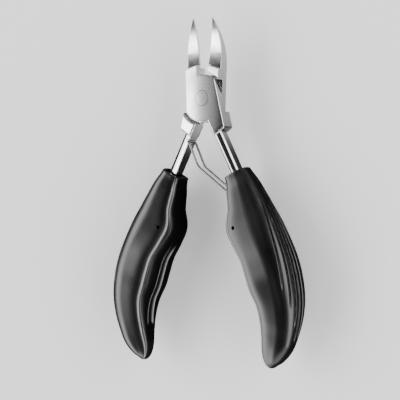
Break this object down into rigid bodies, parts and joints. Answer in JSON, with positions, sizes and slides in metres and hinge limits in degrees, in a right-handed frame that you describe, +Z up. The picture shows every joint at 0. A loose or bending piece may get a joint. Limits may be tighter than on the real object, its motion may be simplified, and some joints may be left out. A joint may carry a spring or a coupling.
{
  "type": "nail nipper",
  "caption": "Lap-jointed steel nail nipper with hollow-ground jaws, a hairpin return spring and curved moulded grips that squeeze shut.",
  "frame": {"origin": "middle of the nipper's bounding box in plan, on the plane it lies on; the pivot's axis stands at x 0, y 0.0421", "axes": "+Y towards the jaw tips, +X to the side of the front lever's grip, +Z up out of the lap's front face, along the pivot"},
  "size_m": [0.1018, 0.1581, 0.022],
  "materials": {
    "polished_steel": "polished stainless steel",
    "spring_steel": "bright drawn wire",
    "black_shell": "black moulded plastic, satin gloss",
    "black_pad": "black moulded plastic, softer sheen",
    "dark_steel": "dark oxidised steel"
  },
  "bodies": {
    "front_half": {"front_lever": "polished_steel", "pivot_rivet": "polished_steel", "return_spring": "spring_steel", "right_grip": "black_shell", "right_inner_pad": "black_pad", "right_grip_pin": "dark_steel"},
    "rear_half": {"rear_lever": "polished_steel", "left_grip": "black_shell", "left_inner_pad": "black_pad", "left_grip_pin": "dark_steel"}
  },
  "joints": [
    {"name": "lever_pivot", "type": "hinge", "parent": "front_half", "child": "rear_half", "pos_m": [0, 0.04206, 0.01101], "axis": [0, 0, 1], "range_deg": [0, 16], "stiffness_Nm_per_rad": 1.5, "springref_deg": -8.59, "deforming": ["return_spring"]}
  ]
}
